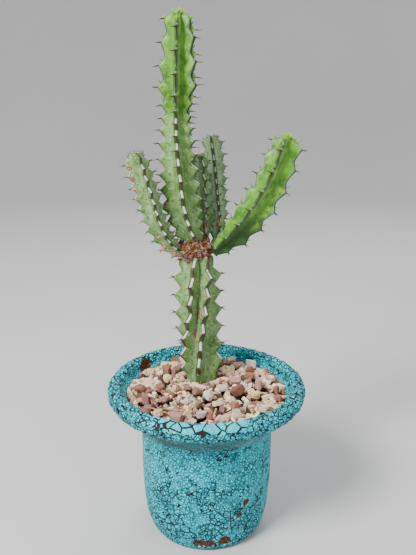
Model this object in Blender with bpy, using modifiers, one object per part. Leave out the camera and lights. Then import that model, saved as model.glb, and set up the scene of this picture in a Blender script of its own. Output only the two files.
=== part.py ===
"""Potted euphorbia in Blender: a turned pot with a rolled rim, potting mix, a gravel bed with
loose stones, and a ribbed, toothed stem that carries five branches on a corky crown.

Metres, +Z up. The origin is the centre of the pot's foot, and -Y is the plant's front.
"""

import math
import random

import bmesh
import bpy
from mathutils import Matrix, Vector, noise

MM = 0.001
GAP = 0.3  # clearance between neighbouring solids, mm

# ---- the pot, mm ----
POT_HEIGHT = 122.0
RIM_RADIUS = 75.0  # outermost reach of the rolled rim
RIM_WIDTH = 10.5  # from the mouth to the outermost reach
ROLL_HEIGHT = 13.0  # from the top of the roll to its under edge
FLARE_END = 40.0  # below the top, where the flare has become the body
BODY_RADIUS = 50.5
FOOT_RADIUS = 41.0
WALL = 6.0
FLOOR = 8.0
DRAIN_RADIUS = 8.0
POT_STEPS = 48

# ---- what fills it, mm ----
MIX_DROP = 26.0  # potting mix, below the pot's top
GRAVEL_EDGE_DROP = 10.0  # gravel bed at the wall, below the pot's top
GRAVEL_RISE = 6.5  # how far the bed is mounded up to the stem
STONE_COUNT = 40
STONE_RADII = (3.4, 6.2)  # smallest and largest half length of a loose stone
STONE_SEED = 11

# ---- the plant, mm ----
STEM_X, STEM_Y = -3.6, 14.0  # where the main stem leaves the gravel
STEM_FOOT_RADIUS = 12.0  # across the untoothed ribs of the buried part
STEM_FOOT_VALLEY = 7.4  # between those ribs
STEM_FOOT_DEPTH = 22.0  # how far that part goes down into the potting mix
CROWN_CENTRE = (-6.5, 14.0, 96.5)  # z is above the pot's top
CROWN_RADII = (16.0, 14.0, 10.5)
CROWN_TAPER = 0.42  # how much narrower it is underneath than on top, as a share
CROWN_LUMPS = 0.2  # share of the radius
STEPS_PER_TOOTH = 5
TIP_STEPS = 2  # of those, from a tooth's tip up to the notch above it
MARGIN_WIDTH = 2.0  # the horny edge along each rib
VALLEY_SHARE = 0.42  # the face between two ribs
APEX_LENGTH = 6.0  # over which a growing tip closes
APEX_SHARE = 0.4

# Each stem: its centreline, z above the pot's top; the tip radius at distances along it, and
# the notches' radius as a share of that; the height of a tooth at distances along it; its ribs'
# bearings in evenly spaced rows from foot to top, in degrees, where 0 faces the front and 90
# faces +X; and how many steps higher each rib's teeth sit.
BRANCHES = {
    "tall_branch": {
        "line": [(-5.0, 12.5, 97), (-9.6, 11.5, 107), (-14.2, 10.5, 118), (-17.6, 9.2, 133),
                 (-18.9, 8.2, 150), (-20.0, 8, 168), (-20.2, 8, 183), (-19.9, 8, 200),
                 (-19.0, 8, 218), (-18.3, 9, 238), (-17.8, 10, 261)],
        "radii": [(0, 6.5), (12, 8.5), (24, 12.5), (38, 15.2), (52, 14.5), (72, 13.9), (83, 13.5),
                  (93, 12.4), (101, 10.6), (109, 11.4), (119, 14.3), (132, 13.8), (147, 12.6),
                  (161, 11.4), (170, 11)],
        "notches": [(0, 0.66), (90, 0.66), (110, 0.74), (172, 0.70)],
        "teeth": [(0, 9.6), (30, 9.8), (40, 11.6), (52, 10.6), (76, 10.8), (84, 9.2), (94, 7.7),
                  (102, 7.9), (110, 11), (120, 13.8), (135, 15.2), (170, 15.2)],
        "ribs": ((-146, -74, 16, 92, 150), (-146, -84, 6, 82, 142), (-148, -84, -7, 62, 128),
                 (-148, -82, -8, 60, 128)),
        "lifts": (4, 0, 3, 1, 3),
    },
    "left_branch": {
        "line": [(-12, 13.5, 94.5), (-18.5, 11.5, 97), (-25.3, 8.6, 102), (-31.3, 5, 111), (-36.2, 1, 123.5),
                 (-39.6, -2, 136.4), (-42.4, -4, 147), (-45, -5, 156), (-47.4, -6, 165),
                 (-49, -7, 172)],
        "radii": [(0, 4), (7, 5), (18, 7), (32, 8.8), (64, 9.2), (94, 8.8)],
        "notches": [(0, 0.66), (94, 0.68)],
        "teeth": [(0, 8.2), (94, 8.2)],
        "ribs": ((-150, -85, 20, 92, 150), (-150, -75, 32, 100, 160)),
        "lifts": (0, 2, 4, 1, 3),
    },
    "right_branch": {
        "line": [(5, 13, 97), (14.3, 10, 105.5), (23.6, 7, 115.4), (31.8, 5, 126),
                 (39.8, 3, 138.6), (46.4, 2, 151.4), (51.5, 2, 164.4), (54.4, 3, 172.5),
                 (56.5, 4, 181)],
        "radii": [(0, 5), (12, 8), (26, 12), (45, 13), (75, 12.6), (92, 12), (104, 11.4)],
        "notches": [(0, 0.74), (104, 0.74)],
        "teeth": [(0, 11), (20, 14.6), (84, 15.2), (104, 8)],
        "ribs": ((-106, -24, 72, 166), (-102, -20, 74, 166)),
        "lifts": (0, 2, 4, 1),
    },
    "short_back_branch": {
        "line": [(-1.5, 25, 101), (-2.2, 28, 112), (-3, 30, 126), (-3.8, 31, 140),
                 (-4.9, 31.5, 152), (-5.5, 32, 166)],
        "radii": [(0, 4), (12, 6), (24, 7.8), (50, 8.2), (66, 7.8)],
        "notches": [(0, 0.66), (66, 0.66)],
        "teeth": [(0, 8), (10, 10.2), (66, 10.2)],
        "ribs": ((-140, -48, 26, 92, 160), (-140, -56, 30, 98, 160)),
        "lifts": (0, 2, 4, 1, 3),
    },
    "long_back_branch": {
        "line": [(7.5, 25.5, 98), (8.6, 35.5, 109), (8.4, 42.5, 122), (7.4, 46, 137),
                 (6, 47, 158), (3.6, 47, 179)],
        "radii": [(0, 4), (16, 6.4), (30, 8.6), (62, 8.8), (72, 8.6), (86, 8.2)],
        "notches": [(0, 0.66), (86, 0.7)],
        "teeth": [(0, 8), (20, 9), (86, 9)],
        "ribs": ((-150, -75, 18, 84, 140), (-160, -84, -4, 76, 136)),
        "lifts": (0, 2, 4, 1, 3),
    },
}
MAIN_STEM = {
    "line": [(-5.2, 14, 22), (-6.3, 14, 43), (-6.8, 14, 67), (-6.9, 14, 89), (-6.8, 14, 99)],
    "radii": [(0, 14.5), (4, 16.6), (20, 17.4), (34, 18.2), (82, 18.2), (90, 16), (96, 12), (100, 8)],
    "notches": [(0, 0.74), (100, 0.68)],
    "teeth": [(0, 14), (100, 14)],
    "ribs": ((-152, -92, -14, 62, 136), (-140, -82, -14, 70, 142), (-98, -24, 21, 96, 168),
             (-98, -8, 48, 100, 172)),
    "lifts": (0, 4, 1, 1, 3),
}


def clear_scene():
    for obj in list(bpy.data.objects):
        bpy.data.objects.remove(obj)


def collection(name):
    made = bpy.data.collections.new(name)
    bpy.context.scene.collection.children.link(made)
    return made


def material(name, colour, roughness):
    made = bpy.data.materials.new(name)
    made.use_nodes = True
    shader = made.node_tree.nodes["Principled BSDF"]
    shader.inputs["Base Color"].default_value = (*colour, 1)
    shader.inputs["Roughness"].default_value = roughness
    return made


def place(name, mesh, group, finish=None):
    obj = bpy.data.objects.new(name, mesh)
    group.objects.link(obj)
    if finish:
        mesh.materials.append(finish)
        mesh.shade_smooth()
        mesh.set_sharp_from_angle(angle=math.radians(40))
    return obj


def cutter(obj):
    obj.hide_render = True
    obj.display_type = "WIRE"
    return obj


def cut(obj, tool):
    modifier = obj.modifiers.new("cut_" + tool.name, "BOOLEAN")
    modifier.operation = "DIFFERENCE"
    modifier.object = tool


def mix(a, b, share):
    return a + (b - a) * share


def read_table(table, at):
    """The value at `at` in rows of (place, value), with straight runs between them."""
    for (x0, y0), (x1, y1) in zip(table, table[1:]):
        if at <= x1:
            return mix(y0, y1, max(0.0, (at - x0) / (x1 - x0)))
    return table[-1][1]


# ---- pot ----
def flare(radius_top, radius_low, drop_top, drop_low, runs=5):
    """A trumpet's curve from the roll down to the straight body."""
    points = []
    for i in range(runs + 1):
        share = i / runs
        radius = mix(radius_low, radius_top, (1 - share) ** 2.2)
        points.append((radius, POT_HEIGHT - mix(drop_top, drop_low, share)))
    return points


def pot_inside():
    """The inner wall from the floor up to the mouth, as (radius, z)."""
    inner = BODY_RADIUS - WALL
    mouth = RIM_RADIUS - RIM_WIDTH
    rising = flare(mouth - 0.5, inner, 8, FLARE_END + 4)[::-1]
    return [(inner - 7, FLOOR), (inner - 1.6, FLOOR + 5), (inner, FLOOR + 16), *rising,
            (mouth, POT_HEIGHT - 3.5)]


def pot_profile():
    roll_top = RIM_RADIUS - 6.2
    outside = [
        (roll_top, POT_HEIGHT),
        (RIM_RADIUS - 2.4, POT_HEIGHT - 1.6),
        (RIM_RADIUS - 0.4, POT_HEIGHT - 4.2),
        (RIM_RADIUS, POT_HEIGHT - 7),
        (RIM_RADIUS - 0.8, POT_HEIGHT - 10),
        *flare(RIM_RADIUS - 3.6, BODY_RADIUS, ROLL_HEIGHT, FLARE_END),
        (BODY_RADIUS, POT_HEIGHT * 0.42),
        (BODY_RADIUS - 0.7, POT_HEIGHT * 0.27),
        (BODY_RADIUS - 2.3, POT_HEIGHT * 0.13),
        (FOOT_RADIUS + 4, 4.2),
        (FOOT_RADIUS + 1.8, 1.3),
        (FOOT_RADIUS, 0),
        (DRAIN_RADIUS, 0),
        (DRAIN_RADIUS, FLOOR),
    ]
    mouth = RIM_RADIUS - RIM_WIDTH
    return outside + pot_inside() + [(mouth + 1.4, POT_HEIGHT - 1.2)]


def turned(name, profile, steps, group, finish=None, closed=True):
    """Turns a profile of (radius, z) about the pot's axis."""
    mesh = bpy.data.meshes.new(name)
    points = [(radius * MM, 0, z * MM) for radius, z in profile]
    edges = [(i, i + 1) for i in range(len(points) - 1)]
    if closed:
        edges.append((len(points) - 1, 0))
    mesh.from_pydata(points, edges, [])
    obj = place(name, mesh, group, finish)
    screw = obj.modifiers.new("turn", "SCREW")
    screw.steps = screw.render_steps = steps
    screw.use_merge_vertices = True
    screw.merge_threshold = 0.00001
    return obj


# ---- fill ----
def inner_radius(z):
    return read_table([(height, radius) for radius, height in pot_inside()], z)


def fill_wall(low, high):
    """The pot's inner wall, less the clearance, from z = low to z = high."""
    between = [z for _, z in pot_inside() if low + 1 < z < high - 1]
    return [(inner_radius(z) - 2 * GAP, z) for z in [low, *between, high]]


def mix_top():
    return POT_HEIGHT - MIX_DROP


def bed_height(x, y):
    """The top of the gravel bed: a low mound whose crest is at the main stem."""
    edge = inner_radius(POT_HEIGHT - GRAVEL_EDGE_DROP)
    reach = math.hypot(x, y) / edge
    away = math.hypot(x - STEM_X, y - STEM_Y) / edge
    mound = max(0.0, 1 - reach**3) * (1 - 0.45 * min(1.0, away))
    return POT_HEIGHT - GRAVEL_EDGE_DROP + GRAVEL_RISE * mound


def build_mix(group, finish):
    wall = fill_wall(FLOOR + GAP, mix_top())
    profile = [(0, mix_top())] + wall[::-1] + [(0, FLOOR + GAP)]
    return turned("potting_mix", profile, POT_STEPS, group, finish, closed=False)


def build_bed(group, finish):
    """A dish of gravel: rings of a flat disc, lifted to the mound's height."""
    low, high = mix_top() + GAP, POT_HEIGHT - GRAVEL_EDGE_DROP
    wall = fill_wall(low, high)
    rim = wall[-1][0]
    top = [(rim * share, high) for share in (0.0, 0.12, 0.3, 0.48, 0.66, 0.83)]
    bed = turned("gravel_bed", top + wall[::-1] + [(0, low)], POT_STEPS, group, closed=False)
    graph = bpy.context.evaluated_depsgraph_get()
    mesh = bpy.data.meshes.new_from_object(bed.evaluated_get(graph))
    bpy.data.objects.remove(bed)
    for vertex in mesh.vertices:
        if vertex.co.z > (high - 0.01) * MM:
            vertex.co.z = bed_height(vertex.co.x / MM, vertex.co.y / MM) * MM
    return place("gravel_bed", mesh, group, finish)


def stone_mesh(name, random_source, length):
    """An angular pebble: the coarsest icosphere, squashed and knocked about."""
    work = bmesh.new()
    bmesh.ops.create_icosphere(work, subdivisions=1, radius=length * MM)
    flatness = random_source.uniform(0.5, 0.72)
    breadth = random_source.uniform(0.62, 0.9)
    for vertex in work.verts:
        vertex.co *= random_source.uniform(0.82, 1.08)
        vertex.co.y *= breadth
        vertex.co.z *= flatness
    tilt = Matrix.Rotation(random_source.uniform(-0.35, 0.35), 4, "X")
    turn = Matrix.Rotation(random_source.uniform(0, math.tau), 4, "Z")
    bmesh.ops.transform(work, matrix=turn @ tilt, verts=work.verts)
    mesh = bpy.data.meshes.new(name)
    work.to_mesh(mesh)
    work.free()
    return mesh


def build_stones(group, finishes):
    """Loose stones on the bed, kept clear of each other, the stem and the pot's wall."""
    source = random.Random(STONE_SEED)
    edge = inner_radius(POT_HEIGHT - GRAVEL_EDGE_DROP) - 1.5
    stem_reach = max(radius for _, radius in MAIN_STEM["radii"]) + 1.0
    placed = []
    while len(placed) < STONE_COUNT:
        size = source.uniform(*STONE_RADII)
        reach = size * 1.1
        radius = (edge - reach) * math.sqrt(source.random())
        bearing = source.uniform(0, math.tau)
        x, y = radius * math.cos(bearing), radius * math.sin(bearing)
        near_stem = math.hypot(x - STEM_X, y - STEM_Y) < stem_reach + reach
        if near_stem or any(math.hypot(x - a, y - b) < reach + c + GAP for a, b, c in placed):
            continue
        name = f"stone_{len(placed) + 1:02d}"
        mesh = stone_mesh(name, source, size)
        lift = max(bed_height(x + v.co.x / MM, y + v.co.y / MM) * MM - v.co.z
                   for v in mesh.vertices)
        stone = place(name, mesh, group, finishes[len(placed) % len(finishes)])
        stone.location = (x * MM, y * MM, lift + GAP * MM)
        placed.append((x, y, reach))


# ---- plant ----
def smooth_line(points):
    """A finely stepped curve through the given points."""
    line = [Vector(p) for p in points]
    padded = [line[0] * 2 - line[1], *line, line[-1] * 2 - line[-2]]
    fine = []
    for before, start, end, after in zip(padded, padded[1:], padded[2:], padded[3:]):
        for i in range(16):
            t = i / 16
            fine.append(0.5 * (2 * start + (end - before) * t
                               + (2 * before - 5 * start + 4 * end - after) * t**2
                               + (3 * start - before - 3 * end + after) * t**3))
    fine.append(line[-1])
    return fine


def walk_teeth(points, teeth):
    """Centres of the cross-sections, a fifth of a tooth apart, with the run up to each."""
    fine = smooth_line(points)
    reach = [0.0]
    for a, b in zip(fine, fine[1:]):
        reach.append(reach[-1] + (b - a).length)
    runs = [0.0]
    while runs[-1] < reach[-1] - 1:
        runs.append(runs[-1] + read_table(teeth, runs[-1]) / STEPS_PER_TOOTH)
    runs = [run * reach[-1] / runs[-1] for run in runs]
    centres = []
    at = 0
    for run in runs:
        while at < len(fine) - 2 and reach[at + 1] < run:
            at += 1
        share = (run - reach[at]) / (reach[at + 1] - reach[at])
        centres.append(fine[at].lerp(fine[at + 1], share))
    return centres, runs


def tooth_height(step, lift):
    """0 in a notch and 1 at a tooth's tip."""
    phase = (step - lift) % STEPS_PER_TOOTH
    if phase <= TIP_STEPS:
        return 1 - phase / TIP_STEPS
    return (phase - TIP_STEPS) / (STEPS_PER_TOOTH - TIP_STEPS)


def rib_bearings(rows, share):
    """Each rib's bearing at a share of the stem's length."""
    at = min(share, 0.9999) * (len(rows) - 1)
    low, high = rows[int(at)], rows[int(at) + 1]
    return [mix(a, b, at % 1) for a, b in zip(low, high)]


def ring_points(centre, along, bearings, tips, valley, margin):
    """One cross-section: for each rib a crest two points wide, then the valley after it."""
    front = Vector((0, -1, 0))
    front = (front - along * front.dot(along)).normalized()
    right = along.cross(front)
    made = []
    for i, (bearing, tip) in enumerate(zip(bearings, tips)):
        following = bearings[(i + 1) % len(bearings)] + (360 if i == len(bearings) - 1 else 0)
        out = front * math.cos(math.radians(bearing)) + right * math.sin(math.radians(bearing))
        side = along.cross(out)
        middle = math.radians((bearing + following) / 2)
        hollow = front * math.cos(middle) + right * math.sin(middle)
        made.append(centre + out * tip - side * margin / 2)
        made.append(centre + out * tip + side * margin / 2)
        made.append(centre + hollow * valley)
    return made


def loft(name, rings):
    """A closed skin over rings that have the same number of points."""
    work = bmesh.new()
    loops = [[work.verts.new(p * MM) for p in ring] for ring in rings]
    for low, high in zip(loops, loops[1:]):
        for i in range(len(low)):
            j = (i + 1) % len(low)
            work.faces.new((low[i], low[j], high[j], high[i]))
    work.faces.new(loops[0][::-1])
    work.faces.new(loops[-1])
    mesh = bpy.data.meshes.new(name)
    work.to_mesh(mesh)
    work.free()
    return mesh


def foot_bottom():
    return mix_top() - STEM_FOOT_DEPTH


def buried_length():
    return bed_height(STEM_X, STEM_Y) + GAP - foot_bottom()


def stem_rings(shape, buried=0.0):
    """The cross-sections of one ribbed stem. Its first `buried` mm have no teeth."""
    line = [(x, y, z + POT_HEIGHT) for x, y, z in shape["line"]]
    if buried:
        line = [(STEM_X, STEM_Y, foot_bottom()), (STEM_X, STEM_Y, POT_HEIGHT)] + line
    centres, runs = walk_teeth(line, shape["teeth"])
    length = runs[-1]
    rings = []
    for i, centre in enumerate(centres):
        along = (centres[min(i + 1, len(centres) - 1)] - centres[max(i - 1, 0)]).normalized()
        run = runs[i] - buried
        radius = read_table(shape["radii"], max(0.0, run))
        notch = read_table(shape["notches"], max(0.0, run))
        closing = (length - runs[i]) / APEX_LENGTH
        if closing < 1 and not buried:
            radius *= mix(APEX_SHARE, 1, math.sqrt(closing))
        toothed = min(1.0, max(0.0, run / 3 - 1)) if buried else 1.0
        bearings = rib_bearings(shape["ribs"], runs[i] / length)
        tips = []
        for lift in shape["lifts"]:
            tip = radius * mix(notch, 1, tooth_height(i, lift))
            tips.append(mix(STEM_FOOT_RADIUS, tip, toothed))
        valley = mix(STEM_FOOT_VALLEY, radius * VALLEY_SHARE, toothed)
        rings.append(ring_points(centre, along, bearings, tips, valley, MARGIN_WIDTH))
    return rings


def foot_hole(name, group, turns=10):
    """The cutter for the buried foot: its ribbed section, a clearance larger all round."""
    low, high = foot_bottom() - GAP, POT_HEIGHT + 10
    rings = []
    for i in range(turns + 1):
        z = mix(low, high, i / turns)
        share = (z - foot_bottom()) / (POT_HEIGHT + MAIN_STEM["line"][-1][2] - foot_bottom())
        bearings = rib_bearings(MAIN_STEM["ribs"], max(0.0, share))
        tips = [STEM_FOOT_RADIUS + 2 * GAP] * len(bearings)
        rings.append(ring_points(Vector((STEM_X, STEM_Y, z)), Vector((0, 0, 1)), bearings, tips,
                                 STEM_FOOT_VALLEY + 2.5 * GAP, MARGIN_WIDTH + 4 * GAP))
    return place(name, loft(name, rings), group)


def crown_mesh(name, grow=0.0):
    """The corky crown, an uneven ellipsoid. `grow` widens it to make its clearance cutter."""
    work = bmesh.new()
    bmesh.ops.create_icosphere(work, subdivisions=3, radius=1)
    for vertex in work.verts:
        direction = vertex.co.normalized()
        lumps = 1 + CROWN_LUMPS * noise.noise(direction * 2.4)
        waist = 1 - CROWN_TAPER * (0.5 - 0.5 * direction.z)
        widths = (waist, waist, 1)
        vertex.co = Vector(
            along * (radius * lumps * width + grow) * MM
            for along, radius, width in zip(direction, CROWN_RADII, widths)
        )
    mesh = bpy.data.meshes.new(name)
    work.to_mesh(mesh)
    work.free()
    return mesh


def build_plant(group, cutters, green, bark):
    x, y, z = CROWN_CENTRE
    crown_place = (x * MM, y * MM, (z + POT_HEIGHT) * MM)
    crown = place("crown_callus", crown_mesh("crown_callus"), group, bark)
    crown.location = crown_place
    clearance = cutter(place("crown_clearance", crown_mesh("crown_clearance", GAP), cutters))
    clearance.location = crown_place
    rings = stem_rings(MAIN_STEM, buried_length())
    main = place("main_stem", loft("main_stem", rings), group, green)
    cut(main, clearance)
    for name, shape in BRANCHES.items():
        branch = place(name, loft(name, stem_rings(shape)), group, green)
        cut(branch, clearance)


def main():
    clear_scene()
    group = collection("potted_euphorbia")
    cutters = collection("cutters")
    glaze = material("crackled_turquoise", (0.10, 0.48, 0.52), 0.45)
    compost = material("potting_mix", (0.06, 0.04, 0.03), 0.95)
    green = material("stem_green", (0.16, 0.36, 0.10), 0.5)
    bark = material("cork", (0.30, 0.17, 0.10), 0.9)
    gravel = material("gravel", (0.52, 0.38, 0.28), 0.9)
    stones = [
        material("stone_cream", (0.66, 0.52, 0.36), 0.9),
        material("stone_mauve", (0.45, 0.27, 0.25), 0.9),
        material("stone_grey", (0.46, 0.42, 0.38), 0.9),
        material("stone_rust", (0.42, 0.18, 0.10), 0.9),
    ]
    turned("pot", pot_profile(), POT_STEPS, group, glaze)
    hole = cutter(foot_hole("stem_hole", cutters))
    for fill in (build_mix(group, compost), build_bed(group, gravel)):
        cut(fill, hole)
    build_stones(group, stones)
    build_plant(group, cutters, green, bark)


main()
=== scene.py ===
import math
import random

import bmesh
import bpy
from mathutils import Matrix, Vector, noise


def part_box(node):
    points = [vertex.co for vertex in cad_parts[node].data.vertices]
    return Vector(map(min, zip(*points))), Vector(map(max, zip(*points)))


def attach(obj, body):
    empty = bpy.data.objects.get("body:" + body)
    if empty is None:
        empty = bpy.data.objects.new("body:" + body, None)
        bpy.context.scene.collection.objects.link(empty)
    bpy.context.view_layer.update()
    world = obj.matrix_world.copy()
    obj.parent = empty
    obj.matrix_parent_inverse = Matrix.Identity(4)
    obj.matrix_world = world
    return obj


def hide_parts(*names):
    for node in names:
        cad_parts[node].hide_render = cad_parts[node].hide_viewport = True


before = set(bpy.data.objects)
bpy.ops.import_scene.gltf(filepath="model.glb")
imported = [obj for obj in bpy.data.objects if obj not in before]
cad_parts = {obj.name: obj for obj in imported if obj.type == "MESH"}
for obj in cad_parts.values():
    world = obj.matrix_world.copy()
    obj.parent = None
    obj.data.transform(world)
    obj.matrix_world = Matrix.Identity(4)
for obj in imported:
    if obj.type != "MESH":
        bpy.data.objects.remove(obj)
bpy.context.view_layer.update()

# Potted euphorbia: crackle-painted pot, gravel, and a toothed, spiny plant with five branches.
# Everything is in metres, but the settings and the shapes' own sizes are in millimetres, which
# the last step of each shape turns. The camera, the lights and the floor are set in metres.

millimetre = 0.001
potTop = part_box("pot")[1].z / millimetre
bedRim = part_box("gravel_bed")[1].x / millimetre


def blendValue(a, b, share):
    return a + (b - a) * share


def clamp(value, low=0.0, high=1.0):
    return max(low, min(high, value))


def smoothStep(low, high, value):
    t = clamp((value - low) / (high - low))
    return t * t * (3 - 2 * t)


def readTable(table, at):
    # rows of (place, value), straight between the rows
    for (x0, y0), (x1, y1) in zip(table, table[1:]):
        if at <= x1:
            return blendValue(y0, y1, max(0.0, (at - x0) / (x1 - x0)))
    return table[-1][1]


def smoothLine(points, perSpan=16):
    # a curve that passes through every point
    line = [Vector(p) for p in points]
    padded = [line[0] * 2 - line[1], *line, line[-1] * 2 - line[-2]]
    fine = []
    for a, b, c, d in zip(padded, padded[1:], padded[2:], padded[3:]):
        for i in range(perSpan):
            t = i / perSpan
            fine.append(0.5 * (2 * b + (c - a) * t + (2 * a - 5 * b + 4 * c - d) * t**2
                               + (3 * b - a - 3 * c + d) * t**3))
    fine.append(line[-1])
    return fine


def lengthsAlong(line):
    reach = [0.0]
    for a, b in zip(line, line[1:]):
        reach.append(reach[-1] + (b - a).length)
    return reach


def pointAt(line, reach, wanted):
    for i in range(len(line) - 1):
        if reach[i + 1] >= wanted:
            return line[i].lerp(line[i + 1], (wanted - reach[i]) / max(1e-9, reach[i + 1] - reach[i]))
    return line[-1].copy()


def turnBetween(bearing, other):
    # degrees from one bearing to the other, the short way round
    return (bearing - other + 180) % 360 - 180


def closeRing(shape, ring):
    edges = [shape.edges.get((a, b)) for a, b in zip(ring, ring[1:] + ring[:1])]
    bmesh.ops.contextual_create(shape, geom=edges)


def growRing(shape, ring, places):
    # starts a tube with a closed end, or extrudes its last ring to the next places
    if not ring:
        ring = bmesh.ops.create_circle(shape, cap_ends=False, segments=len(places),
                                       radius=0.01)["verts"]
        for vert, place in zip(ring, places):
            vert.co = place
        closeRing(shape, ring)
        return ring
    edges = [shape.edges.get((a, b)) for a, b in zip(ring, ring[1:] + ring[:1])]
    grown = bmesh.ops.extrude_edge_only(shape, edges=edges)["geom"]
    fresh = {g for g in grown if isinstance(g, bmesh.types.BMVert)}
    following = []
    for vert, place in zip(ring, places):
        above = next(e.other_vert(vert) for e in vert.link_edges if e.other_vert(vert) in fresh)
        above.co = place
        following.append(above)
    return following


def setDown(shape, verts, place, turn):
    # turns a small shape that was made in millimetres and moves it to its place
    bmesh.ops.transform(shape, verts=verts, matrix=(
        Matrix.Scale(millimetre, 4) @ Matrix.Translation(place) @ turn))


def facing(direction):
    return direction.to_track_quat("Z", "Y").to_matrix().to_4x4()


def looseStones():
    # the model's own loose stones: name, middle and half size
    stones = []
    for name in sorted(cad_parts):
        if name.startswith("stone_"):
            low, high = (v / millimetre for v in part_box(name))
            stones.append((name, (low + high) / 2, (high - low) / 2))
    return stones


def finishPiece(name, shape, material, smooth=True, replaced=(), sharpAngle=None):
    # turns a bmesh into a piece that rides on the model
    mesh = bpy.data.meshes.new(name)
    shape.to_mesh(mesh)
    shape.free()
    piece = bpy.data.objects.new(name, mesh)
    bpy.context.scene.collection.objects.link(piece)
    mesh.materials.append(material)
    if smooth:
        mesh.shade_smooth()
        if sharpAngle:
            mesh.set_sharp_from_angle(angle=math.radians(sharpAngle))
    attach(piece, "root")
    if replaced:
        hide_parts(*replaced)
    return piece


# camera, light and floor
camera = {"place": (0.0011, -0.4467, 0.3389), "tiltDown": 16.9, "lens": 41.5}
cameraData = bpy.data.cameras.new("camera")
cameraData.sensor_width = 36
cameraData.lens = camera["lens"]
cameraObject = bpy.data.objects.new("camera", cameraData)
cameraObject.location = camera["place"]
cameraObject.rotation_euler = (math.radians(90 - camera["tiltDown"]), 0, 0)
bpy.context.scene.collection.objects.link(cameraObject)
bpy.context.scene.camera = cameraObject

lights = {
    "keyLight": {"place": (-0.76, -0.78, 1.20), "size": 0.45, "power": 40, "colour": (1, 0.985, 0.96)},
    "fillLight": {"place": (0.9, -0.8, 0.8), "size": 1.0, "power": 4, "colour": (0.95, 0.98, 1)},
    "backLight": {"place": (0.3, 0.9, 1.2), "size": 0.9, "power": 10, "colour": (1, 1, 1)},
}
for lightName, light in lights.items():
    lamp = bpy.data.lights.new(lightName, "AREA")
    lamp.size = light["size"]
    lamp.energy = light["power"]
    lamp.color = light["colour"]
    lampObject = bpy.data.objects.new(lightName, lamp)
    lampObject.location = light["place"]
    aim = Vector((0, 0, 0.18)) - lampObject.location
    lampObject.rotation_euler = aim.to_track_quat("-Z", "Y").to_euler()
    bpy.context.scene.collection.objects.link(lampObject)

world = bpy.data.worlds.new("studio")
bpy.context.scene.world = world
world.use_nodes = True
world.node_tree.nodes["Background"].inputs["Color"].default_value = (0.80, 0.82, 0.85, 1)
world.node_tree.nodes["Background"].inputs["Strength"].default_value = 0.82


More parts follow.
